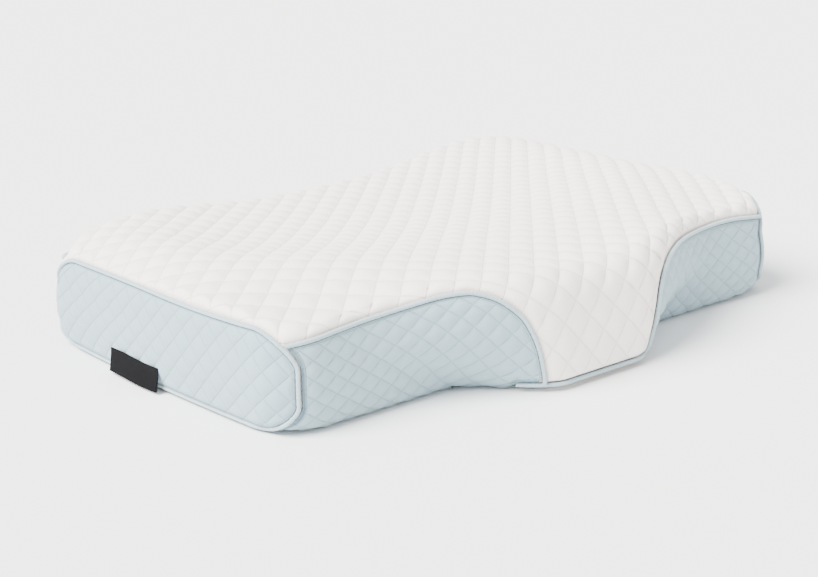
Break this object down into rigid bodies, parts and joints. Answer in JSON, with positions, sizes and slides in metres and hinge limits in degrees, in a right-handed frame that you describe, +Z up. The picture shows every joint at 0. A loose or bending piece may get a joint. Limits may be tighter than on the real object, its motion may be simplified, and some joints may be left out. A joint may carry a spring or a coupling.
{
  "type": "cervical pillow",
  "caption": "Butterfly contour neck pillow with raised side wings, a front neck lobe, quilted top and piped quilted sides.",
  "frame": {"origin": "centre of the bounding box in plan, at the floor under the pillow", "axes": "+X along the long side, towards the right wing; -Y towards the front neck lobe; +Z up"},
  "size_m": [0.6426, 0.4382, 0.114],
  "materials": {
    "top_cover": "white knitted cloth quilted in small diamonds",
    "side_cloth": "light blue knitted cloth quilted in diamonds",
    "piping": "light blue covered cord",
    "label": "bare dark woven tape"
  },
  "bodies": {
    "root": {"pillow_body": "top_cover", "left_end_panel": "side_cloth", "right_end_panel": "side_cloth", "front_left_panel": "side_cloth", "front_right_panel": "side_cloth", "back_panel": "side_cloth", "base_panel": "side_cloth", "left_end_piping": "piping", "right_end_piping": "piping", "front_left_piping": "piping", "front_right_piping": "piping", "back_piping": "piping", "lobe_base_piping": "piping", "label": "label"}
  },
  "joints": []
}
